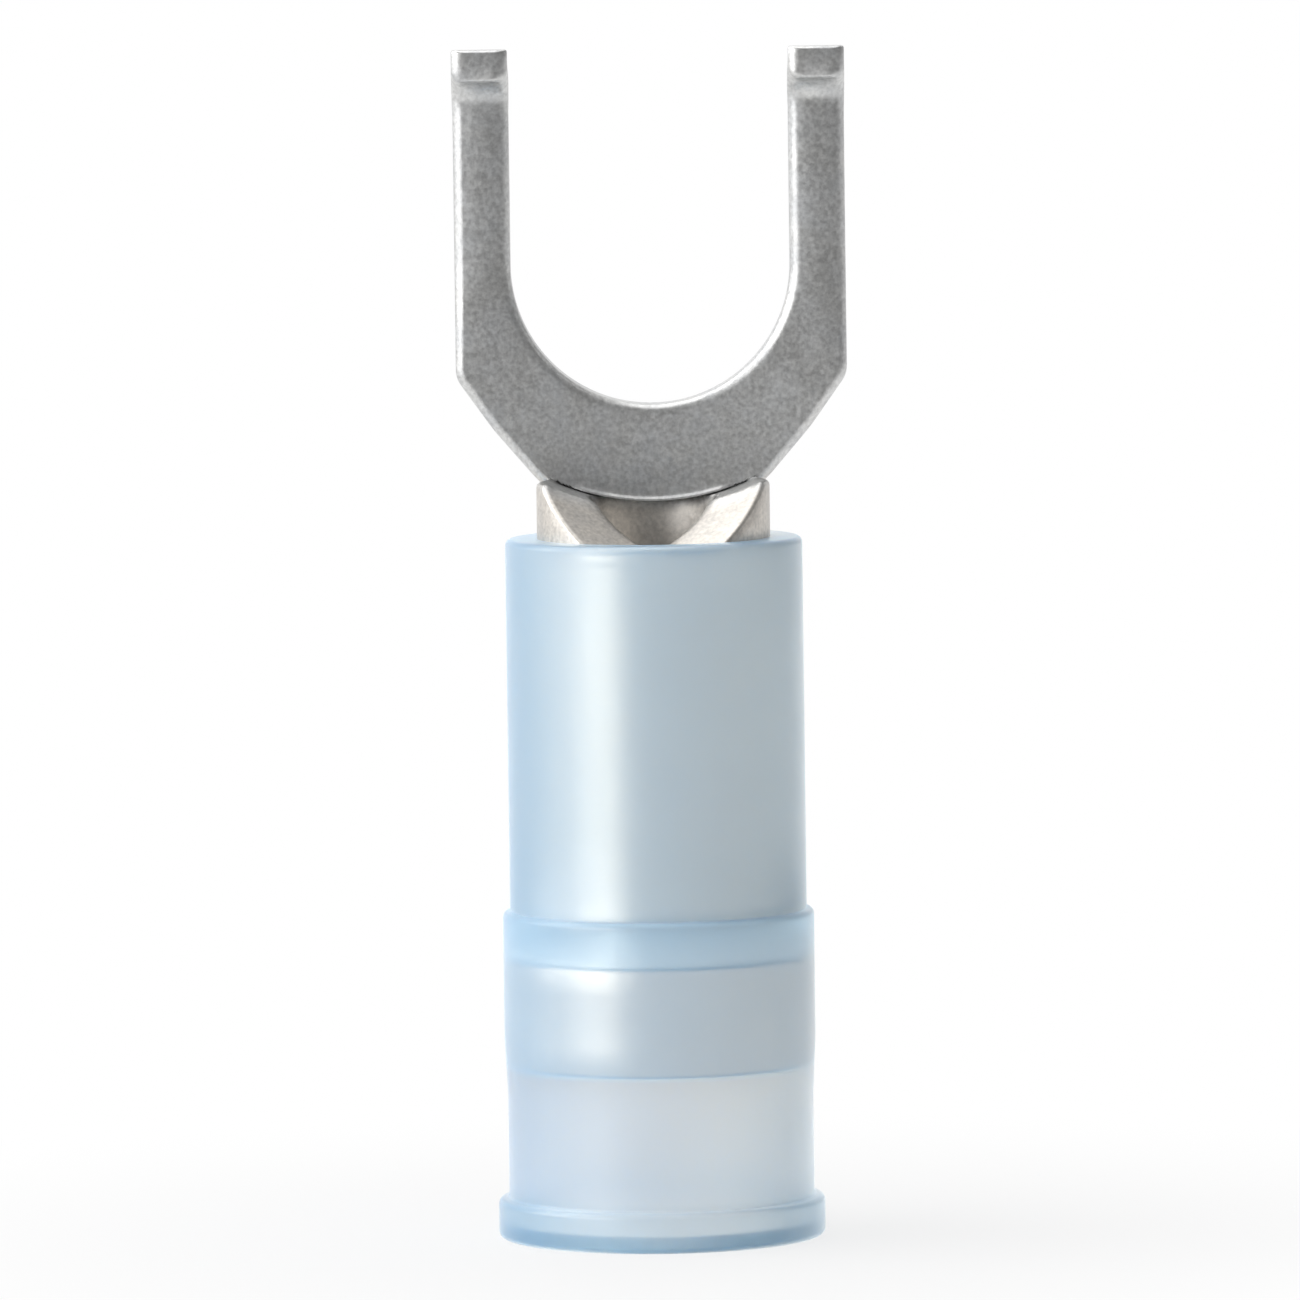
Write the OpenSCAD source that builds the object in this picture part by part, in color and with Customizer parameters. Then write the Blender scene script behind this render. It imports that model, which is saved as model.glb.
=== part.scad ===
// Flanged fork terminal: a tin-plated copper fork with a rolled wire barrel, a short grip sleeve
// for the wire's insulation, and a moulded nylon insulating sleeve over both.
// Millimetres. The wire enters along +Z from the origin, at the middle of the entry face.
// The fork lies in the XZ plane, with its tips turned up towards -Y.

/* [Sheet] */
// Thickness of the copper sheet
sheet_t = 0.75; // [0.6:0.05:0.9]
// Rounding that the punch leaves on the front edges of the sheet
edge_r = 0.15; // [0.05:0.01:0.2]

/* [Fork] */
// Clear width of the stud slot
slot_w = 5; // [4.2:0.1:5.6]
// Width of each tine
tine_w = 1; // [0.7:0.05:1.6]
// Distance from the mouth of the barrel to the centre of the stud
stud_reach = 4.91; // [4.8:0.01:6]
// Distance from the centre of the stud to the tops of the tips
tine_reach = 3.9; // [2.4:0.1:7]
// Slope of the shoulders, measured from the long axis
shoulder_angle = 38; // [34:1:42]

/* [Tips] */
// Inside radius of the bend that turns up each tip
bend_r = 0.45; // [0.2:0.05:0.6]
// Straight length of each tip past its bend
tip_len = 0.35; // [0.1:0.05:0.6]
// Thickness of the tips, which the bend has drawn thinner than the sheet
tip_t = 0.58; // [0.5:0.01:0.6]
// Length of the tine over which its back thins towards the bend
thin_run = 1; // [0.6:0.1:1.6]
// Sideways bulge of the squeezed metal on the inside of the bend
bend_bulge = 0.05; // [0.02:0.01:0.1]
// Angle by which that bulge runs on past each end of the bend
bulge_run = 3; // [1:1:8]

/* [Neck] */
// Height of the side walls of the neck above the mouth of the barrel
neck_h = 1.1; // [0.9:0.05:1.3]
// Bevel of the side walls, falling from the tongue to the seam
wall_bevel = 38; // [34:1:42]
// Middle of that bevel, in degrees round from the seam
bevel_place = 53; // [48:1:58]
// Thickness of the side walls at their tops, where the trough of the neck has spread
wall_top_t = 0.12; // [0.08:0.01:0.3]
// Step of the tongue, forward of the floor of the barrel
tongue_step = 0.38; // [0.2:0.02:0.5]
// Slope of the step, measured from the tongue
step_slope = 40; // [30:1:50]
// Width of the flat metal left between the stud slot and the step
pad_w = 1.75; // [1.4:0.05:2]

/* [Barrel] */
// Inside diameter of the wire barrel
barrel_d = 2.66; // [2.3:0.02:2.9]
// Length of the closed part of the barrel
barrel_len = 6.75; // [5:0.25:9]
// Length of the bell mouth where the strands go in
bell_len = 0.6; // [0.3:0.05:1]
// Flare of the bell mouth
bell_flare = 0.06; // [0.02:0.01:0.1]
// Width of the brazed seam
seam_w = 0.12; // [0.06:0.02:0.3]
// Depth of the brazed seam
seam_d = 0.05; // [0.02:0.01:0.15]

/* [Grip sleeve] */
// Inside diameter of the grip sleeve, and of the nylon below it
grip_d = 4.34; // [4:0.02:4.6]
// Wall of the grip sleeve
grip_t = 0.25; // [0.15:0.01:0.35]
// Length of the grip sleeve
grip_len = 1.95; // [1.5:0.05:3]
// Depth of the grip sleeve inside the wire entry
grip_depth = 3.08; // [2.4:0.02:4.5]
// Chamfer on the ends of the grip sleeve
grip_chamfer = 0.06; // [0.02:0.01:0.1]

/* [Nylon sleeve] */
// Wall over the barrel
front_wall = 0.55; // [0.4:0.01:0.65]
// Wall over the grip sleeve
grip_wall = 0.34; // [0.3:0.01:0.5]
// Wall at the wire entry
entry_wall = 0.56; // [0.45:0.01:0.6]
// Thickness of the inner collar between the grip sleeve and the barrel
collar_t = 0.6; // [0.4:0.05:1]
// Height of the outside step above the collar
step_lap = 0.22; // [0.1:0.01:0.5]
// Reach of the front rim past the mouth of the barrel
rim_lap = 0.1; // [0.05:0.01:0.3]
// Thickness of the flange at the wire entry
flange_t = 0.72; // [0.5:0.02:1.2]
// Reach of the flange past the wall at the wire entry
flange_reach = 0.19; // [0.1:0.01:0.4]
// Rounding of the outside edges of the moulding
nylon_r = 0.12; // [0.05:0.01:0.2]
// Lead-in chamfer at the wire entry
entry_chamfer = 0.25; // [0.1:0.01:0.3]
// Clearance between the nylon and the metal inside it
fit_gap = 0.02; // [0.01:0.005:0.05]

/* [Hidden] */
$fn = 96;
// Overshoot of a cut past the face that it opens
over = 0.5;

// Radii of the barrel, the grip sleeve and the moulding
barrel_ir = barrel_d / 2;
barrel_or = barrel_ir + sheet_t;
grip_ir = grip_d / 2;
grip_or = grip_ir + grip_t;
front_or = barrel_or + fit_gap + front_wall;
rear_or = grip_or + fit_gap + grip_wall;
entry_or = grip_ir + entry_wall;
flange_or = entry_or + flange_reach;

// Heights up the long axis, from the wire entry to the tips
grip_top = grip_depth + grip_len;
collar_z = grip_top + fit_gap;
collar_top = collar_z + collar_t;
barrel_z = collar_top + fit_gap;
step_z = collar_top + step_lap;
mouth_z = barrel_z + barrel_len;
rim_z = mouth_z + rim_lap;
neck_z = mouth_z + neck_h;
stud_z = mouth_z + stud_reach;
tip_z = stud_z + tine_reach;
bend_z = tip_z - bend_r - tip_t;

// The blade, from its front face to its back face, and its outline
blade_y = barrel_ir - tongue_step;
blade_back = blade_y + sheet_t;
bend_y = blade_y - bend_r;
tip_y = bend_y - tip_len;
slot_r = slot_w / 2;
half_w = slot_r + tine_w;
shoulder_z = neck_z + (half_w - barrel_or) / tan(shoulder_angle);
root_half = sqrt(tongue_step * (2 * barrel_or - tongue_step)) - edge_r;
root_z = rim_z;
pad_r = slot_r + pad_w;
pad_back_r = pad_r - sheet_t * tan(step_slope / 2);

// Sheet metal drawn in X and Z, from its front face back
module sheet(front, thickness) {
    translate([0, front + thickness, 0])
        rotate([90, 0, 0])
            linear_extrude(height = thickness)
                children();
}

// Corner that is taken off an edge to leave it round
module edge_corner() {
    difference() {
        translate([-over, -over])
            square(edge_r + over);
        translate([edge_r, edge_r])
            circle(edge_r);
    }
}

// Cut along a straight front edge, from a point in X and Z, with the metal on the right of the way up
module along_edge(x, z, angle, length) {
    translate([x, blade_y, z])
        rotate([0, angle, 0])
            linear_extrude(height = length)
                children();
}

// Outline of the blade: tines, shoulders and the root that sinks into the back of the barrel
module blade_outline() {
    top_z = tip_z + over;
    difference() {
        polygon([
            [-root_half, root_z], [root_half, root_z], [barrel_or, neck_z], [half_w, shoulder_z],
            [half_w, top_z], [-half_w, top_z], [-half_w, shoulder_z], [-barrel_or, neck_z]
        ]);
        translate([0, stud_z])
            circle(slot_r);
        translate([-slot_r, stud_z])
            square([slot_w, top_z - stud_z + over]);
    }
}

// Region inside a bend of a radius about the origin, with its straight runs down and to the left
module bend_side(radius) {
    run = tip_z - root_z + over;
    difference() {
        translate([-run, -run])
            square(run + radius);
        difference() {
            square(radius + over);
            circle(radius);
        }
    }
}

// Side view of the sheet: the flat blade, its thinned end, the bend and the turned-up tip
module blade_profile() {
    run = tip_z - root_z + over;
    translate([bend_y, bend_z])
        difference() {
            union() {
                bend_side(bend_r + tip_t);
                polygon([
                    [0, -run], [bend_r + sheet_t, -run], [bend_r + sheet_t, -thin_run],
                    [bend_r + tip_t, 0], [0, 0]
                ]);
            }
            bend_side(bend_r);
        }
}

// Bevel on the left front edge of the root, back from the bulge of the side wall that stands before it
module root_bevel() {
    lead = barrel_or - sqrt(pow(barrel_or, 2) - pow(blade_y, 2));
    lean = atan((barrel_or - root_half) / (neck_z - root_z));
    along_edge(-root_half, root_z, -lean, (neck_z - root_z) / cos(lean))
        polygon([[-over, -over], [lead + over, -over], [-over, lead + over]]);
}

// Flat blade with its two turned-up tips
module blade() {
    difference() {
        intersection() {
            sheet(tip_y, blade_back + over - tip_y)
                blade_outline();
            translate([-half_w - over, 0, 0])
                rotate([90, 0, 90])
                    linear_extrude(height = 2 * (half_w + over))
                        blade_profile();
        }
        for (side = [0, 1])
            mirror([side, 0, 0])
                root_bevel();
    }
}

// Rounded front edges on the left half of the blade
module blade_edges() {
    shoulder_len = (shoulder_z - neck_z) / cos(shoulder_angle);
    along_edge(-half_w, shoulder_z - edge_r, 0, bend_z - shoulder_z + edge_r)
        edge_corner();
    along_edge(-barrel_or, neck_z, -shoulder_angle, shoulder_len + edge_r)
        edge_corner();
    mirror([1, 0, 0])
        along_edge(slot_r, stud_z, 0, bend_z - stud_z)
            edge_corner();
    translate([0, blade_y, stud_z])
        rotate([-90, 0, 0])
            rotate([0, 0, 90])
                rotate_extrude(angle = 90)
                    translate([slot_r, 0])
                        edge_corner();
}

// Rounded edges along the underside of the right tip
module tip_edges() {
    translate([slot_r + tine_w / 2, tip_y - over, bend_z + bend_r])
        rotate([-90, 0, 0])
            rotate([0, 0, -90])
                linear_extrude(height = tip_len + over)
                    for (side = [0, 1])
                        mirror([0, side])
                            translate([0, -tine_w / 2])
                                edge_corner();
}

// Metal squeezed out on the inside of the right tip's bend
module tip_bulge() {
    wide = tine_w / 2 + bend_bulge;
    narrow = tine_w / 2 - bend_bulge;
    inside = bend_r - bend_bulge / 2;
    middle = bend_r + tip_t / 2;
    translate([slot_r + tine_w / 2, bend_y, bend_z])
        rotate([90, 0, 90])
            rotate([0, 0, -bulge_run])
                rotate_extrude(angle = 90 + 2 * bulge_run)
                    polygon([[inside, -wide], [middle, -narrow], [middle, narrow], [inside, wide]]);
}

// Cone about the stud's axis that bounds the flat pad, from a radius at a depth and wider behind it
module pad_cone(radius, depth) {
    thickness = barrel_or + over - depth;
    translate([0, depth, stud_z])
        rotate([-90, 0, 0])
            cylinder(h = thickness, r1 = radius, r2 = radius + thickness / tan(step_slope));
}

// Room that the round punch of the flat pad clears in front of it
module pad_punch() {
    translate([0, blade_y, stud_z])
        rotate([90, 0, 0])
            cylinder(h = barrel_or + blade_y + over, r = pad_r);
}

// Metal above the bevel on the left side wall of the neck
module wall_bevel_cut() {
    mid_r = (barrel_ir + barrel_or) / 2;
    reach = 2 * barrel_or;
    intersection() {
        translate([-mid_r * sin(bevel_place), -mid_r * cos(bevel_place), mouth_z + neck_h / 2])
            rotate([0, 0, -bevel_place])
                rotate([0, wall_bevel, 0])
                    translate([-reach, -reach, 0])
                        cube(2 * reach);
        translate([-reach, -reach, mouth_z])
            cube([reach, reach, reach]);
    }
}

// Rolled tube of the barrel, with its bell mouth and the side walls of the neck
module barrel_tube() {
    difference() {
        rotate_extrude()
            polygon([
                [barrel_ir + bell_flare, barrel_z], [barrel_or + bell_flare, barrel_z],
                [barrel_or, barrel_z + bell_len], [barrel_or, neck_z],
                [barrel_ir, neck_z], [barrel_ir, barrel_z + bell_len]
            ]);
        pad_cone(pad_back_r, blade_back);
        pad_punch();
        for (side = [0, 1])
            mirror([side, 0, 0])
                wall_bevel_cut();
        translate([-seam_w / 2, -barrel_or - over, barrel_z - over])
            cube([seam_w, seam_d + over, barrel_len + neck_h + over]);
    }
}

// Bore of the barrel and the spreading trough of the neck, up to the edge of the flat pad
module barrel_hollow() {
    bore_z = barrel_z + bell_len;
    difference() {
        union() {
            translate([0, 0, bore_z])
                cylinder(h = mouth_z - bore_z, r = barrel_ir);
            translate([0, 0, mouth_z])
                cylinder(h = neck_h, r1 = barrel_ir, r2 = barrel_or - wall_top_t);
        }
        pad_cone(pad_r, blade_y);
    }
}

// Stamped, rolled and brazed copper terminal
module fork_terminal() {
    color("silver") {
        difference() {
            union() {
                blade();
                barrel_tube();
            }
            for (side = [0, 1])
                mirror([side, 0, 0]) {
                    blade_edges();
                    tip_edges();
                }
            barrel_hollow();
        }
        for (side = [0, 1])
            mirror([side, 0, 0])
                tip_bulge();
    }
}

// Short tinned copper tube that is crimped onto the wire's insulation
module grip_sleeve() {
    color("lightsteelblue")
        rotate_extrude()
            polygon([
                [grip_ir, grip_depth + grip_chamfer], [grip_ir + grip_chamfer, grip_depth],
                [grip_or - grip_chamfer, grip_depth], [grip_or, grip_depth + grip_chamfer],
                [grip_or, grip_top - grip_chamfer], [grip_or - grip_chamfer, grip_top],
                [grip_ir + grip_chamfer, grip_top], [grip_ir, grip_top - grip_chamfer]
            ]);
}

// Half section of a round body with its outer corners rounded
module rounded_body(radius, low, high) {
    translate([0, low + nylon_r])
        square([radius, high - low - 2 * nylon_r]);
    for (z = [low, high - nylon_r])
        translate([0, z])
            square([radius - nylon_r, nylon_r]);
    for (z = [low + nylon_r, high - nylon_r])
        translate([radius - nylon_r, z])
            circle(nylon_r);
}

// Outside of the moulding: flange, entry, swelling over the grip sleeve, step and front
module nylon_outside() {
    swell_z = grip_depth - grip_len / 4;
    swell_top = grip_depth + grip_len / 4;
    rounded_body(flange_or, 0, flange_t);
    translate([0, flange_t / 2])
        square([entry_or, grip_depth - flange_t / 2]);
    polygon([[0, swell_z], [entry_or, swell_z], [rear_or, swell_top], [0, swell_top]]);
    translate([0, swell_top])
        square([rear_or, collar_z - swell_top]);
    rounded_body(rear_or, collar_z - collar_t, step_z);
    rounded_body(front_or, collar_z, rim_z);
}

// Inside of the moulding: lead-in, entry, seat of the grip sleeve, funnel and bore over the barrel
module nylon_inside() {
    polygon([
        [0, -over], [grip_ir + entry_chamfer + over, -over], [grip_ir, entry_chamfer],
        [grip_ir, grip_depth - fit_gap], [grip_or + fit_gap, grip_depth - fit_gap],
        [grip_or + fit_gap, collar_z], [grip_ir, collar_z], [barrel_ir + bell_flare, collar_top],
        [barrel_or + bell_flare + fit_gap, collar_top], [barrel_or + fit_gap, barrel_z + bell_len],
        [barrel_or + fit_gap, rim_z + over], [0, rim_z + over]
    ]);
}

// Moulded nylon insulation
module insulating_sleeve() {
    color("lightblue", 0.6)
        rotate_extrude()
            difference() {
                nylon_outside();
                nylon_inside();
            }
}

fork_terminal();
grip_sleeve();
insulating_sleeve();
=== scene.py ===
import math

import bmesh
import bpy
from mathutils import Matrix, Vector


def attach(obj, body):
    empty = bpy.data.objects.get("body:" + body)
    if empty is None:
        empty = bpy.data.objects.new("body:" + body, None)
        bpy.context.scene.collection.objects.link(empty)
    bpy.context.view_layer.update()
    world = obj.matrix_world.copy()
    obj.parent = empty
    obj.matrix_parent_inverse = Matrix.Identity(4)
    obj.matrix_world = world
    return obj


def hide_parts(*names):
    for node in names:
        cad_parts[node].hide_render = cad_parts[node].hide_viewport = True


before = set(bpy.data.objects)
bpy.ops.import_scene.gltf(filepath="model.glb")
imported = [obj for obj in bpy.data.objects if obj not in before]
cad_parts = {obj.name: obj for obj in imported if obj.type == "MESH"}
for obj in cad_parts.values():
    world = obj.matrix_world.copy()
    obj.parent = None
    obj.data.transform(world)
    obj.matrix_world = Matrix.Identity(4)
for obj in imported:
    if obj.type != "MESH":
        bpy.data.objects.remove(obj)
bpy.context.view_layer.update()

# Fork: one stamping of tin-plated copper sheet. The tips are turned up towards the front, the neck is
# curled into a trough behind a step, and the tail is rolled into the wire barrel and brazed shut.
# Sizes are in millimetres.
MM = 0.001
stud_z, slot_r, tine_w = 17.33, 2.5, 1.0
front_y, back_y, tip_t = 0.95, 1.70, 0.58
bend_y, bend_z, bend_r, tip_len = 0.50, 20.20, 0.45, 0.35
outer_line = [(3.5, 18.0), (3.5, 15.34), (2.84, 14.41), (2.08, 13.52), (1.03, 12.54), (-1.03, 12.54)]
corner_blur = (-1.6, -0.8, 0, 0.8, 1.6)
front_edge, back_edge = 0.16, 0.04
pad_r, barrel_r = 4.25, 2.08
crown_h, dish_h, dish_reach, flat_from = 0.06, 0.06, 2.5, 40
ridge_h, ridge_w, ridge_in = 0.07, 0.05, 0.04
step_early, step_slope, step_front, step_h = 0.02, 12, 1.0, 0.70
bend_swell, swell_before, swell_span, swell_behind = 0.04, 20, 125, 0.4
end_narrow, end_round, end_thin = 0.22, 0.13, 0.06


def share(value, start, end):
    """How far a value has gone from a start to an end, from 0 to 1."""
    return min(1, max(0, (value - start) / (end - start)))


def reach(angle):
    """Distance from the stud's centre to the sheet's outer edge, at an angle below the horizontal."""
    total = 0
    for turn in corner_blur:
        a = math.radians(min(angle + turn, 180 - angle - turn))
        ux, uz = math.cos(a), -math.sin(a)
        hits = []
        for (xa, za), (xb, zb) in zip(outer_line, outer_line[1:]):
            ex, ez = xb - xa, zb - za
            cross = ux * ez - uz * ex
            if abs(cross) > 1e-9:
                along = (xa * ez - (za - stud_z) * ex) / cross
                place = (xa * uz - (za - stud_z) * ux) / cross
                if along > 0 and -1e-6 <= place <= 1 + 1e-6:
                    hits.append(along)
        total += min(hits)
    return total / len(corner_blur)


def rolled(radius, steps):
    """Quarter round of an edge, as distances in from the side and back from the face."""
    turns = [math.pi / 2 * i / steps for i in range(steps + 1)]
    return [(radius * (1 - math.cos(a)), radius * (1 - math.sin(a))) for a in turns]


def strip_section(width, thick, stops, sink):
    """Loop round the cut sheet from the slot's edge: rolled front edges, and a crisp back."""
    front, back = rolled(front_edge, 5), rolled(back_edge, 2)
    cut = thick - front_edge - back_edge
    loop = front + [(w, 0) for w in stops] + [(width - w, d) for w, d in reversed(front)]
    loop += [(width, front_edge + cut * k / 3) for k in (1, 2)]
    loop += [(width - w, thick - d) for w, d in back]
    loop += [(width - width * k / 6, thick) for k in range(1, 6)]
    loop += [(w, thick - d) for w, d in reversed(back)]
    loop += [(0, thick - back_edge - cut * k / 3) for k in (1, 2)]
    return [(w, d + sink(w) * (1 - d / thick)) for w, d in loop]


def blade_ring(kind, place, cap):
    """Loop round the right half of the sheet, at a place on its tip, bend, tine or on the slot's arc."""
    on_arc = kind == "arc"
    width = reach(place) - slot_r if on_arc else tine_w
    thin = {"arc": 0, "tine": max(0, 1 - (bend_z - place))}.get(kind, 1)
    thick = (back_y - front_y) * (1 - thin) + tip_t * thin
    flat = min(1, place / flat_from) if on_arc else 0
    crown = crown_h * (1 - place / tip_len) if kind == "tip" else crown_h * (1 - flat)
    a = math.radians(place)

    lip = min(pad_r - slot_r, width - 2 * front_edge)
    fine = 0.03
    stops = [front_edge + (lip - front_edge - 6 * fine) * (k + 1) / 10 for k in range(9)]
    stops += [lip + fine * k for k in range(-6, 5)]
    stops += [lip + 4 * fine + (width - front_edge - 4 * fine - lip) * k / 4 for k in (1, 2, 3)]
    ridge = ridge_h * share(width - 2 * front_edge - pad_r + slot_r, 0, 0.12) if on_arc else 0

    def sink(w):
        """Depth of the front face: crowned tines, a dished pad with a ridge, and the step behind it."""
        x = (slot_r + w) * math.cos(a)
        depth = crown * (2 * w / width - 1) ** 2 - dish_h * flat * (x / dish_reach) ** 2
        depth -= ridge * math.exp(-(((w - lip + ridge_in) / ridge_w) ** 2))
        past = slot_r + w + step_early - pad_r
        if not on_arc or past < 0:
            return depth
        behind = math.sqrt(max(0, barrel_r ** 2 - x ** 2)) - step_front
        return depth + min(step_slope * past, max(0, behind), step_h)

    turned_up = {"tip": 90 + math.degrees(place / bend_r), "bend": place}
    turned_up = turned_up.get(kind, -math.degrees((bend_z - place) / bend_r))
    swell = 0 if on_arc else bend_swell * math.sin(math.pi * share(turned_up + swell_before, 0, swell_span))
    round_off = 1 - math.cos(math.radians(cap))
    ring = []
    for w, d in strip_section(width, thick, stops, sink):
        side = 2 * w / width - 1
        bulge = swell * (1 - 2 * d / thick) * (1 if d < thick / 2 else swell_behind)
        w += side * (bulge - end_narrow * round_off)
        d -= (2 * d / thick - 1) * end_thin * round_off
        if on_arc:
            ring.append(((slot_r + w) * math.cos(a), front_y + d, stud_z - (slot_r + w) * math.sin(a)))
        elif kind == "tine":
            ring.append((slot_r + w, front_y + d, place))
        elif kind == "bend":
            y, z = bend_y + (bend_r + d) * math.cos(a), bend_z + (bend_r + d) * math.sin(a)
            ring.append((slot_r + w, y, z))
        else:
            end = place - end_round * (1 - math.sin(math.radians(cap))) if cap else place
            ring.append((slot_r + w, bend_y - end, bend_z + bend_r + d))
    return ring


def loft(name, rings, closed):
    """Skin over a row of loops, joined round into a ring or capped at its two ends."""
    shape = bmesh.new()
    rows = [[shape.verts.new(point) for point in ring] for ring in rings]
    for here, there in zip(rows, rows[1:] + rows[:1] if closed else rows[1:]):
        for j in range(len(here)):
            k = (j + 1) % len(here)
            shape.faces.new((here[j], there[j], there[k], here[k]))
    if not closed:
        shape.faces.new(rows[0])
        shape.faces.new(rows[-1][::-1])
    bmesh.ops.recalc_face_normals(shape, faces=shape.faces)
    mesh = bpy.data.meshes.new(name)
    shape.to_mesh(mesh)
    shape.free()
    piece = bpy.data.objects.new(name, mesh)
    bpy.context.scene.collection.objects.link(piece)
    return piece


runs = [("tip", tip_len, 90 * k / 4) for k in range(4, 0, -1)]
runs += [("tip", tip_len * k / 4, 0) for k in (2.6, 2, 1)]
runs += [("bend", 90 * (1 - k / 16), 0) for k in range(17)]
tine_drops = (0.04, 0.1, 0.2, 0.35, 0.55, 0.8, 1.0, 1.05, 1.3, 1.7, 2.1, 2.5)
runs += [("tine", bend_z - drop, 0) for drop in tine_drops]
runs += [("arc", 90 * k / 108, 0) for k in range(109)]
right = [blade_ring(*run) for run in runs]
left = [[(-x, y, z) for x, y, z in ring] for ring in reversed(right[:-1])]
blade = loft("fork_blade", right + left, False)

barrel_z, bell_z, mouth_z, neck_z = 5.67, 6.27, 12.42, 13.52
bore_r, bell, bell_edge, neck_edge = 1.33, 0.06, 0.04, 0.09
undercut, shoulder_slope = 0.273, 40
bevel_x, bevel_y, bevel_z = 1.3616, -1.026, 12.97
bevel_in, bevel_back, bevel_up = 0.3705, 0.4917, 0.788
pinch, lean, side_wall, waist_z = 0.12, 0.18, 0.34, 12.2
back_wear, side_wear = 0.04, 0.30


def wall_top(x, y):
    """Height of the neck's wall: under the pad and its step, and down the bevel towards the seam."""
    pad = pad_r
    if y > back_y:
        pad = pad_r - undercut + (y - back_y) / math.tan(math.radians(shoulder_slope))
    elif y > front_y:
        pad = pad_r - undercut * (y - front_y) / (back_y - front_y)
    under = stud_z - math.sqrt(pad ** 2 - x ** 2)
    bevel = bevel_z - (bevel_in * (bevel_x - abs(x)) - bevel_back * (y - bevel_y)) / bevel_up
    return max(mouth_z, min(neck_z, under, bevel))


def trough_r(z, curl):
    """Inside radius of the barrel, and of the trough above it, which leans back between thick sides."""
    rise = share(z, waist_z, waist_z + 0.4)
    narrowed = bore_r - pinch * share(z, waist_z - 0.5, waist_z) + lean * share(z, waist_z, neck_z)
    return narrowed - side_wall * curl * rise * rise * (3 - 2 * rise)


def softened(line, reach_mm):
    """Section line with its corners worn round: each point becomes the mean of the line about it."""
    lengths = [0]
    for (ra, za), (rb, zb) in zip(line, line[1:]):
        lengths.append(lengths[-1] + math.hypot(rb - ra, zb - za))
    worn = []
    for here in lengths:
        wide = min(reach_mm, here, lengths[-1] - here)
        total, weight = [0, 0], 0
        for k in range(-8, 9):
            at = here + wide * k / 8
            i = next(j for j in range(len(lengths) - 1) if at <= lengths[j + 1] + 1e-9)
            part = (at - lengths[i]) / max(1e-9, lengths[i + 1] - lengths[i])
            count = 9 - abs(k)
            total = [t + count * (p + (q - p) * part) for t, p, q in zip(total, line[i], line[i + 1])]
            weight += count
        worn.append((total[0] / weight, total[1] / weight))
    return worn


def barrel_ring(degrees):
    """Half section of the barrel and its neck, at an angle round the long axis from the back."""
    turn = math.radians(degrees)
    sx, cy = math.sin(turn), math.cos(turn)
    curl = share(abs(degrees - 180), 125, 90)
    top, low = wall_top(barrel_r * sx, barrel_r * cy), neck_z
    for _ in range(30):
        in_r = trough_r(low, curl)
        low += 0.5 * (wall_top(in_r * sx, in_r * cy) - low)
    bell_r = barrel_r + bell
    line = [(bell_r - bell_edge, barrel_z), (bell_r, barrel_z + bell_edge), (barrel_r, bell_z)]
    line += [(barrel_r, z) for z in (7.5, 9.0, 10.5, 11.8)]
    line += [(barrel_r, 11.8 + (top - neck_edge - 11.8) * k / 4) for k in (1, 2, 3)]
    line += [(barrel_r - w, top - d) for w, d in rolled(neck_edge, 4)]
    lip = []
    for k in range(13):
        r = barrel_r - neck_edge + (in_r - barrel_r + neck_edge) * k / 12
        lip.append((r, wall_top(r * sx, r * cy)))
    for k in range(1, 19):
        z = low + (12.0 - low) * k / 18
        lip.append((trough_r(z, curl), z))
    line += softened(lip, back_wear + side_wear * curl)[1:]
    line += [(bore_r, z) for z in (10.0, 8.0, bell_z)]
    line += [(bore_r + bell, barrel_z + bell_edge), (bore_r + bell + bell_edge, barrel_z)]
    return [(r * sx, r * cy, z) for r, z in line]


def shade_smooth(mesh, crease):
    """Smooth shading, except across edges that turn by more than an angle in degrees."""
    for face in mesh.polygons:
        face.use_smooth = True
    mesh.set_sharp_from_angle(angle=math.radians(crease))


fork = loft("fork", [barrel_ring(2.5 * k) for k in range(144)], True)
join = fork.modifiers.new("braze", "BOOLEAN")
join.operation = "UNION"
join.solver = "MANIFOLD"
join.object = blade
fork_mesh = bpy.data.meshes.new_from_object(fork.evaluated_get(bpy.context.evaluated_depsgraph_get()))
fork.modifiers.remove(join)
fork_mesh.transform(Matrix.Scale(MM, 4))
fork.data = fork_mesh
bpy.data.objects.remove(blade)
shade_smooth(fork_mesh, 34)


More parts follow.
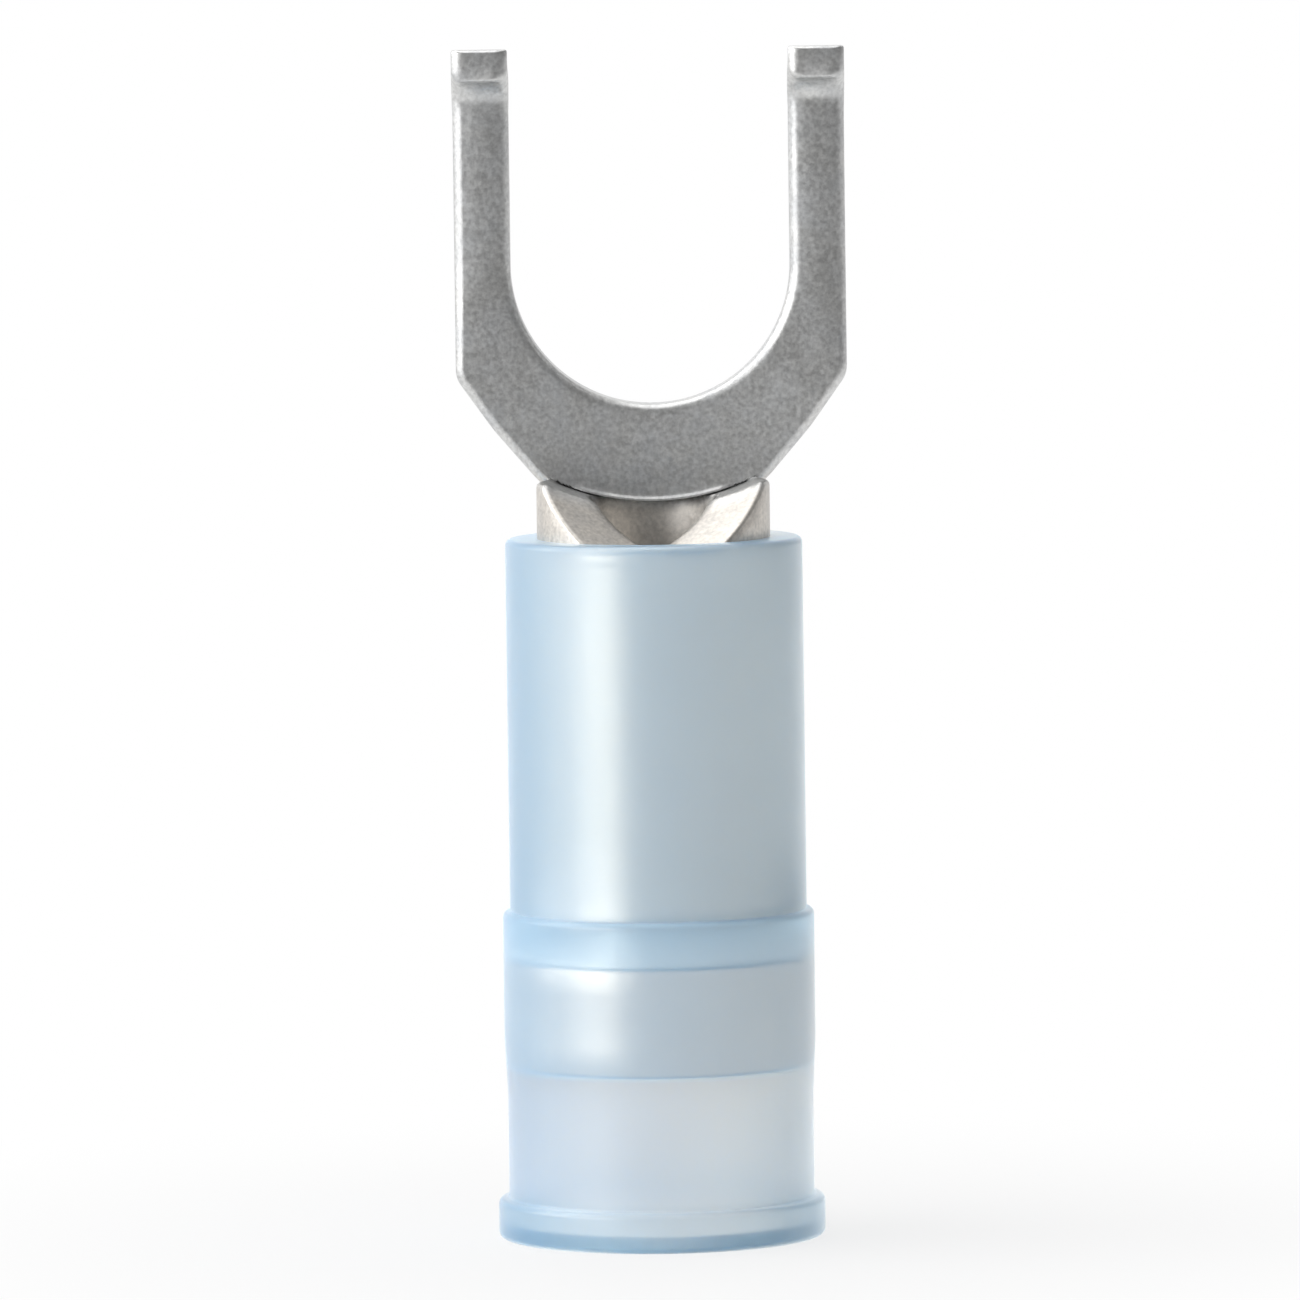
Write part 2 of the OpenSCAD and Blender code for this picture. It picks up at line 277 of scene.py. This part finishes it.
class Wiring:
    """Short ways to add nodes to one tree. Each input is given as a plain value or as a socket."""

    def __init__(self, tree):
        self.nodes, self.link = tree.nodes, tree.links.new

    def feed(self, socket, value):
        if isinstance(value, bpy.types.NodeSocket):
            self.link(value, socket)
        else:
            socket.default_value = value

    def add(self, kind, inputs=None, **settings):
        """New node, its settings made first, then its inputs by name or number."""
        node = self.nodes.new(kind)
        for name, setting in settings.items():
            setattr(node, name, setting)
        for key, value in (inputs or {}).items():
            self.feed(node.inputs[key], value)
        return node

    def maths(self, operation, *values):
        return self.add("ShaderNodeMath", dict(enumerate(values)), operation=operation).outputs[0]

    def vector(self, operation, *values):
        return self.add("ShaderNodeVectorMath", dict(enumerate(values)), operation=operation).outputs[0]

    def number(self, operation, *values):
        """Length of a vector, or the dot product of two."""
        node = self.add("ShaderNodeVectorMath", dict(enumerate(values)), operation=operation)
        return node.outputs["Value"]

    def ranged(self, value, low, high, to_low, to_high, ease="LINEAR"):
        """Value moved from one range to another, and held at its ends."""
        inputs = {"Value": value, "From Min": low, "From Max": high, "To Min": to_low, "To Max": to_high}
        return self.add("ShaderNodeMapRange", inputs, interpolation_type=ease).outputs[0]

    def noise(self, where, scale, detail):
        inputs = {"Vector": where, "Scale": scale, "Detail": detail}
        return self.add("ShaderNodeTexNoise", inputs).outputs["Fac"]

    def blend(self, blend_type, factor, first, second):
        """Mix of two colours."""
        inputs = {0: factor, 6: first, 7: second}
        return self.add("ShaderNodeMix", inputs, data_type="RGBA", blend_type=blend_type).outputs[2]

    def mixed(self, factor, first, second):
        """Mix of two shaders."""
        return self.add("ShaderNodeMixShader", {0: factor, 1: first, 2: second}).outputs[0]


covered_from, covered_below = 12.5, 12.1


def tin_plate(name, colour, rough, grain):
    """Dull tin plating: fine grain, clouds, a few rubbed scratches, and a warm painted shade in the neck's
    trough.
    """
    tin = bpy.data.materials.new(name)
    tin.use_nodes = True
    wires = Wiring(tin.node_tree)
    shader = wires.nodes["Principled BSDF"]
    place = wires.add("ShaderNodeTexCoord").outputs["Object"]
    height = wires.add("ShaderNodeSeparateXYZ", {0: place}).outputs["Z"]
    sheltered = wires.ranged(height, covered_from * MM, covered_below * MM, 0, 1)
    calm = wires.ranged(sheltered, 0, 1, 1, 0.2)

    def calmed(pattern):
        """Pattern drawn in towards its mean where the moulding covers the metal."""
        return wires.maths("ADD", wires.maths("MULTIPLY", wires.maths("SUBTRACT", pattern, 0.5), calm), 0.5)

    def scratches(scale, turn, thinness, start):
        """Long thin marks: a noise that is turned, and squeezed across its length."""
        inputs = {"Vector": place, "Rotation": turn, "Scale": (1, thinness, 1)}
        squeezed = wires.add("ShaderNodeMapping", inputs).outputs[0]
        return wires.ranged(wires.noise(squeezed, scale, 2), start, 0.74, 0, 1)

    speckle, cloud = calmed(wires.noise(place, 13000, 3)), calmed(wires.noise(place, 1700, 3))
    ripple = wires.noise(place, 3200, 2)
    rubbed = scratches(900, (0.3, 0.9, 0.2), 22, 0.70)
    worn = scratches(700, (0.1, -0.8, 0.4), 26, 0.71)
    marks = wires.maths("MAXIMUM", rubbed, worn)
    from_stud = wires.vector("SUBTRACT", place, (0, 0, stud_z * MM))
    away = wires.number("LENGTH", wires.vector("MULTIPLY", from_stud, (1, 0, 1)))
    # Painted shade: a mask for the neck's trough, below the pad and past its edge, where the base colour is
    # made warmer and darker.
    neck = wires.ranged(height, (stud_z - 2.5) * MM, (stud_z - 3.2) * MM, 0, 1)
    past_pad = wires.ranged(away, (pad_r - 0.02) * MM, (pad_r + 0.2) * MM, 0, 0.75)
    painted_trough_shade = wires.maths("MULTIPLY", neck, past_pad)

    dark = tuple(0.80 * c for c in colour) + (1,)
    light = tuple(min(1, 1.12 * c) for c in colour) + (1,)
    tint = wires.blend("MIX", wires.ranged(speckle, 0.3, 0.7, 0, 1), dark, light)
    tint = wires.blend("MULTIPLY", wires.ranged(cloud, 0.35, 0.7, 0, 1), tint, (0.88, 0.89, 0.91, 1))
    # Warm, darker painted shade in the neck's trough.
    tint = wires.blend("MULTIPLY", painted_trough_shade, tint, (1.0, 0.925, 0.84, 1))
    tint = wires.blend("MIX", wires.ranged(marks, 0, 1, 0, 0.25), tint, light)
    clouded = wires.ranged(cloud, 0.3, 0.7, rough - 0.05, rough + 0.06)
    dull = wires.maths("ADD", clouded, wires.ranged(speckle, 0.3, 0.7, -0.03, 0.04))
    relief = wires.maths("ADD", speckle, wires.maths("MULTIPLY", ripple, 5.0))
    relief = wires.maths("ADD", relief, wires.maths("MULTIPLY", marks, -0.5))
    relief = wires.maths("MULTIPLY", relief, wires.ranged(sheltered, 0, 1, 1, 0.08))
    bump = wires.add("ShaderNodeBump", {"Strength": grain, "Distance": 0.004 * MM, "Height": relief})

    shader.inputs["Metallic"].default_value = 1.0
    wires.feed(shader.inputs["Base Color"], tint)
    wires.feed(shader.inputs["Roughness"], wires.maths("ADD", dull, wires.ranged(sheltered, 0, 1, 0, -0.14)))
    wires.feed(shader.inputs["Normal"], bump.outputs[0])
    return tin


fork_mesh.materials.clear()
fork_mesh.materials.append(tin_plate("tin_plate", (0.68, 0.68, 0.67), 0.40, 0.5))
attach(fork, "root")
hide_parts("fork_terminal")

# Grip sleeve: a short tube of the same tinned copper, pressed into the moulding and crimped later
# onto the insulation of the wire.
grip_out, grip_in, grip_low, grip_top, grip_edge = 2.42, 2.17, 3.08, 5.03, 0.06


def turned_tree():
    """Node tree that spins a half section, a chain of points in X and Z, about the long axis."""
    tree = bpy.data.node_groups.new("turned_piece", "GeometryNodeTree")
    for name, kind in (("Section", "Geometry"), ("Steps", "Int"), ("Finish", "Material")):
        tree.interface.new_socket(name, in_out="INPUT", socket_type="NodeSocket" + kind)
    tree.interface.new_socket("Piece", in_out="OUTPUT", socket_type="NodeSocketGeometry")
    wires = Wiring(tree)
    given = wires.add("NodeGroupInput").outputs
    section = given["Section"]
    points = wires.add("GeometryNodeAttributeDomainSize", {"Geometry": section}).outputs["Point Count"]
    around, along = wires.maths("ADD", given["Steps"], 1), wires.maths("ADD", points, 1)
    counts = {"Size X": 1, "Size Y": 1, "Vertices X": around, "Vertices Y": along}
    grid = wires.add("GeometryNodeMeshGrid", counts).outputs["Mesh"]
    here = wires.add("GeometryNodeInputPosition").outputs[0]
    spot = wires.add("ShaderNodeSeparateXYZ", {0: here}).outputs
    turn = wires.maths("MULTIPLY", wires.maths("ADD", spot["X"], 0.5), 2 * math.pi)
    row = wires.maths("ROUND", wires.maths("MULTIPLY", wires.maths("ADD", spot["Y"], 0.5), points))
    sampled = {"Geometry": section, "Value": here, "Index": wires.maths("MODULO", row, points)}
    point = wires.add("GeometryNodeSampleIndex", sampled, data_type="FLOAT_VECTOR").outputs[0]
    half = wires.add("ShaderNodeSeparateXYZ", {0: point}).outputs
    x = wires.maths("MULTIPLY", half["X"], wires.maths("COSINE", turn))
    y = wires.maths("MULTIPLY", half["X"], wires.maths("SINE", turn))
    whole = wires.add("ShaderNodeCombineXYZ", {"X": x, "Y": y, "Z": half["Z"]}).outputs[0]
    spun = wires.add("GeometryNodeSetPosition", {"Geometry": grid, "Position": whole}).outputs[0]
    near = {"Geometry": spun, "Distance": 0.0005 * MM}
    welded = wires.add("GeometryNodeMergeByDistance", near).outputs[0]
    real = wires.add("GeometryNodeRealizeInstances", {0: welded}).outputs[0]
    dressed = wires.add("GeometryNodeSetMaterial", {"Geometry": real, "Material": given["Finish"]})
    wires.add("NodeGroupOutput", {"Piece": dressed.outputs[0]})
    return tree


def turned(name, section, finish, steps=160):
    """Round piece that a closed half section makes, as a plain mesh."""
    edges = [(k, k + 1) for k in range(len(section) - 1)]
    chain = bpy.data.meshes.new(name)
    chain.from_pydata([(r * MM, 0, z * MM) for r, z in section], edges, [])
    piece = bpy.data.objects.new(name, chain)
    bpy.context.scene.collection.objects.link(piece)
    spin = piece.modifiers.new("spin", "NODES")
    spin.node_group = turning
    for item in turning.interface.items_tree:
        if item.in_out == "INPUT" and item.name == "Steps":
            spin[item.identifier] = steps
        if item.in_out == "INPUT" and item.name == "Finish":
            spin[item.identifier] = finish
    mesh = bpy.data.meshes.new_from_object(piece.evaluated_get(bpy.context.evaluated_depsgraph_get()))
    piece.modifiers.remove(spin)
    shape = bmesh.new()
    shape.from_mesh(mesh)
    bmesh.ops.recalc_face_normals(shape, faces=shape.faces)
    shape.to_mesh(mesh)
    shape.free()
    shade_smooth(mesh, 32)
    piece.data = mesh
    return piece


def corner(r, z, radius, start, end, steps=8):
    """Points of a round corner about a centre, between two angles in degrees."""
    turns = [math.radians(start + (end - start) * i / steps) for i in range(steps + 1)]
    return [(r + radius * math.cos(a), z + radius * math.sin(a)) for a in turns]


turning = turned_tree()
grip_section = (
    corner(grip_out - grip_edge, grip_low + grip_edge, grip_edge, -90, 0, 4)
    + [(grip_out, z) for z in (3.6, 4.1, 4.5)]
    + corner(grip_out - grip_edge, grip_top - grip_edge, grip_edge, 0, 90, 4)
    + corner(grip_in + grip_edge, grip_top - grip_edge, grip_edge, 90, 180, 4)
    + [(grip_in, z) for z in (4.5, 4.1, 3.6)]
    + corner(grip_in + grip_edge, grip_low + grip_edge, grip_edge, 180, 270, 4)
)
grip = turned("grip", grip_section, tin_plate("tin_tube", (0.66, 0.67, 0.68), 0.40, 0.08))
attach(grip, "root")
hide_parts("grip_sleeve")

# Insulating sleeve: one moulding of clear pale-blue nylon, a little milky, with a step over the grip
# sleeve, a funnel inside it and a round flange at the wire entry. It is pressed tight on the metal.
flange_r, entry_r, rear_r, front_r = 2.92, 2.73, 2.78, 2.65
flange_h, step_z, rim_z, press = 0.72, 5.87, 12.52, 0.01
nylon_edge, flange_fillet, step_fillet, entry_chamfer = 0.12, 0.05, 0.01, 0.25
seat_r, hold_r, funnel_z = grip_out - press, barrel_r - press, barrel_z + press
nylon_section = (
    [(grip_in + entry_chamfer, 0.0)]
    + corner(flange_r - nylon_edge, nylon_edge, nylon_edge, -90, 0)
    + corner(flange_r - nylon_edge, flange_h - nylon_edge, nylon_edge, 0, 90)
    + corner(entry_r + flange_fillet, flange_h + flange_fillet, flange_fillet, 270, 180)
    + [(entry_r, 1.4), (entry_r, 2.1), (entry_r, 2.593)]
    + [(entry_r + 0.01, 2.75), (entry_r + 0.025, grip_low), (rear_r - 0.01, 3.4), (rear_r, 3.57)]
    + [(rear_r, 4.2), (rear_r, 5.0)]
    + corner(rear_r - nylon_edge, step_z - nylon_edge, nylon_edge, 0, 90)
    + corner(front_r + step_fillet, step_z + step_fillet, step_fillet, 270, 180, 2)
    + [(front_r, 7.5), (front_r, 9.0), (front_r, 10.5)]
    + corner(front_r - nylon_edge, rim_z - nylon_edge, nylon_edge, 0, 90)
    + [(hold_r, rim_z), (hold_r, 9.5), (hold_r, bell_z), (hold_r + bell, funnel_z)]
    + [(bore_r + bell, funnel_z), (grip_in + press, grip_top - press)]
    + [(seat_r, grip_top - press), (seat_r, 4.0), (seat_r, grip_low + press)]
    + [(grip_in + press, grip_low + press), (grip_in, 1.6), (grip_in, entry_chamfer)]
)
nylon = bpy.data.materials.new("blue_nylon")
nylon.use_nodes = True
wires = Wiring(nylon.node_tree)
place = wires.add("ShaderNodeTexCoord").outputs["Object"]
height = wires.add("ShaderNodeSeparateXYZ", {0: place}).outputs["Z"]
across = wires.vector("MULTIPLY", place, (1, 1, 0))
inside = wires.ranged(wires.number("LENGTH", across), (grip_in + 0.13) * MM, (grip_in + 0.03) * MM, 0, 1)
above = wires.ranged(height, (grip_top - 0.08) * MM, grip_top * MM, 0, 1)
below = wires.ranged(height, (funnel_z + 0.07) * MM, (funnel_z + 0.02) * MM, 0, 1)
funnel = wires.maths("MULTIPLY", inside, wires.maths("MULTIPLY", above, below))
milk = wires.noise(place, 420, 2)


def by_height(flange, entry, rear):
    """Colour that changes up the moulding: its flange, the thin wall above it, and from the grip on."""
    ramp_top = 12.5
    ramp = wires.add("ShaderNodeValToRGB", {"Fac": wires.ranged(height, 0, ramp_top * MM, 0, 1)})
    stops = [(flange_h - 0.02, flange), (flange_h + 0.13, entry)]
    stops += [(grip_low - 0.06, entry), (grip_low + 0.02, rear)]
    while len(ramp.color_ramp.elements) < len(stops):
        ramp.color_ramp.elements.new(0.5)
    for stop, (z, colour) in zip(ramp.color_ramp.elements, stops):
        stop.position = z / ramp_top
        stop.color = colour + (1,)
    return ramp.outputs["Color"]


milky = by_height((0.0, 0.07, 0.15), (0.01, 0.06, 0.14), (0.085, 0.215, 0.36))
tinted = by_height((0.83, 0.80, 0.75), (0.895, 0.86, 0.80), (0.83, 0.787, 0.716))
milky = wires.blend("MIX", funnel, milky, (0.46, 0.54, 0.63, 1))
milky = wires.blend("MULTIPLY", wires.ranged(milk, 0.35, 0.65, 0, 1), milky, (0.90, 0.93, 0.95, 1))
skin_relief = {"Strength": 0.12, "Distance": 0.004 * MM, "Height": wires.noise(place, 5200, 3)}
skin = wires.add("ShaderNodeBump", skin_relief).outputs[0]
haze = wires.nodes["Principled BSDF"]
haze_look = {"Roughness": 0.35, "Specular IOR Level": 0.4, "Base Color": milky, "Normal": skin}
for socket, value in haze_look.items():
    wires.feed(haze.inputs[socket], value)
clear_look = {"Color": tinted, "IOR": 1.53, "Roughness": wires.ranged(milk, 0.35, 0.65, 0.30, 0.36)}
clear = wires.add("ShaderNodeBsdfGlass", {**clear_look, "Normal": skin})
body = wires.add("ShaderNodeAddShader", {0: haze.outputs[0], 1: clear.outputs[0]})

# The funnel's face throws light back from inside the nylon: a share of mirror with an upright normal.
to_world = {"vector_type": "NORMAL", "convert_from": "OBJECT", "convert_to": "WORLD"}
outward = wires.add("ShaderNodeVectorTransform", {0: across}, **to_world).outputs[0]
mirror_look = {"Base Color": (0.67, 0.69, 0.71, 1), "Metallic": 1.0, "Roughness": 0.28, "Normal": outward}
mirror = wires.add("ShaderNodeBsdfPrincipled", mirror_look)
lined = wires.mixed(wires.ranged(funnel, 0, 1, 0, 0.8), body.outputs[0], mirror.outputs[0])
lamp_way = wires.add("ShaderNodeBsdfTransparent", {"Color": (0.85, 0.85, 0.85, 1)})
to_lamp = wires.add("ShaderNodeLightPath").outputs["Is Shadow Ray"]
depth = wires.add("ShaderNodeVolumeAbsorption", {"Color": (0.6, 0.85, 1.0, 1), "Density": 250.0})
finish = wires.nodes["Material Output"]
wires.feed(finish.inputs["Surface"], wires.mixed(to_lamp, lined, lamp_way.outputs[0]))
wires.feed(finish.inputs["Volume"], depth.outputs[0])
nylon_sleeve = turned("nylon_sleeve", nylon_section, nylon)
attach(nylon_sleeve, "root")
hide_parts("insulating_sleeve")

# Studio: a white table that runs back out of sight, a dim room, a large faint softbox on the left, a
# bright key between it and the camera, one higher up on the left and one overhead. Sizes are in metres.
table_x, table_front, table_back, table_z = 0.6, -0.05, 1.2, -1e-5
floor_mesh = bpy.data.meshes.new("floor")
floor_mesh.from_pydata([
    (-table_x, table_front, table_z), (table_x, table_front, table_z),
    (table_x, table_back, table_z), (-table_x, table_back, table_z),
], [], [(0, 1, 2, 3)])
floor = bpy.data.objects.new("floor", floor_mesh)
bpy.context.scene.collection.objects.link(floor)
floor_look = bpy.data.materials.new("white_table")
floor_look.use_nodes = True
wires = Wiring(floor_look.node_tree)
table = wires.nodes["Principled BSDF"]
table.inputs["Base Color"].default_value = (0.8, 0.8, 0.8, 1)
table.inputs["Roughness"].default_value = 0.9
far = wires.number("LENGTH", wires.add("ShaderNodeTexCoord").outputs["Object"])
fade = wires.ranged(far, 0.004, 0.02, 0.75, 1, "SMOOTHSTEP")
path = wires.add("ShaderNodeLightPath").outputs
straight = wires.maths("MAXIMUM", path["Is Camera Ray"], path["Is Transmission Ray"])
shown = wires.maths("MAXIMUM", straight, path["Is Glossy Ray"])
white = wires.add("ShaderNodeEmission").outputs[0]
white_share = wires.maths("MULTIPLY", shown, fade)
surface = wires.mixed(white_share, table.outputs[0], white)
wires.feed(wires.nodes["Material Output"].inputs["Surface"], surface)
floor_mesh.materials.append(floor_look)

world = bpy.data.worlds.new("studio")
bpy.context.scene.world = world
world.use_nodes = True
wires = Wiring(world.node_tree)
way = wires.add("ShaderNodeTexCoord").outputs["Generated"]
towards_right_front = wires.number("DOT_PRODUCT", way, (0.5, -0.866, 0))
towards_left_back = wires.number("DOT_PRODUCT", way, (-0.6, 0.8, 0))
room = wires.nodes["Background"]
room.inputs["Color"].default_value = (1, 1, 1, 1)
wires.feed(room.inputs["Strength"], wires.ranged(towards_right_front, 0.0, 0.9, 0.42, 0.27, "SMOOTHSTEP"))
backdrop = wires.add("ShaderNodeBackground", {"Color": (1, 1, 1, 1), "Strength": 1.0})
path = wires.add("ShaderNodeLightPath").outputs
straight = wires.maths("MAXIMUM", path["Is Camera Ray"], path["Is Transmission Ray"])
sweep = wires.ranged(towards_left_back, 0.0, 0.6, 0, 1, "SMOOTHSTEP")
shown = wires.maths("MAXIMUM", straight, wires.maths("MULTIPLY", path["Is Glossy Ray"], sweep))
surface = wires.mixed(shown, room.outputs[0], backdrop.outputs[0])
wires.feed(wires.nodes["World Output"].inputs["Surface"], surface)


def softbox(name, place, aim, width, height, radiance):
    """Rectangular soft lamp that faces a point, as bright as a surface of that radiance."""
    lamp = bpy.data.lights.new(name, "AREA")
    lamp.shape = "RECTANGLE"
    lamp.size, lamp.size_y = width, height
    lamp.energy = radiance * math.pi * width * height
    rig = bpy.data.objects.new(name, lamp)
    rig.location = place
    rig.rotation_euler = (Vector(aim) - Vector(place)).to_track_quat("-Z", "Y").to_euler()
    bpy.context.scene.collection.objects.link(rig)


middle = (0, 0, 0.012)
softbox("left_softbox", (-0.30, -0.20, 0.10), (0, -0.20, 0.10), 0.60, 0.5, 0.45)
softbox("key_softbox", (-0.357, -0.276, 0.12), middle, 0.31, 0.28, 2.25)
softbox("high_softbox", (-0.40, 0.03, 0.26), middle, 0.34, 0.44, 1.7)
softbox("top_softbox", (-0.15, 0.10, 0.45), (-0.15, 0.10, 0), 0.50, 0.55, 1.3)

# Camera: in front of the terminal and a little above it, and turned a little about its own axis, as
# the photograph was taken.
stand, aim = Vector((0.0, -0.220, 0.0275)), Vector((-0.00009, 0, 0.0105))
half_view, roll = 0.0116, -0.75
lens = bpy.data.cameras.new("camera")
lens.sensor_width = 36
lens.angle = 2 * math.atan(half_view / (aim - stand).length)
lens.clip_start = 0.01
camera = bpy.data.objects.new("camera", lens)
facing = (aim - stand).to_track_quat("-Z", "Y").to_matrix().to_4x4()
camera.matrix_world = Matrix.Translation(stand) @ facing @ Matrix.Rotation(math.radians(roll), 4, "Z")
bpy.context.scene.collection.objects.link(camera)
bpy.context.scene.camera = camera

bpy.context.scene.view_settings.view_transform = "Standard"

bpy.context.view_layer.update()
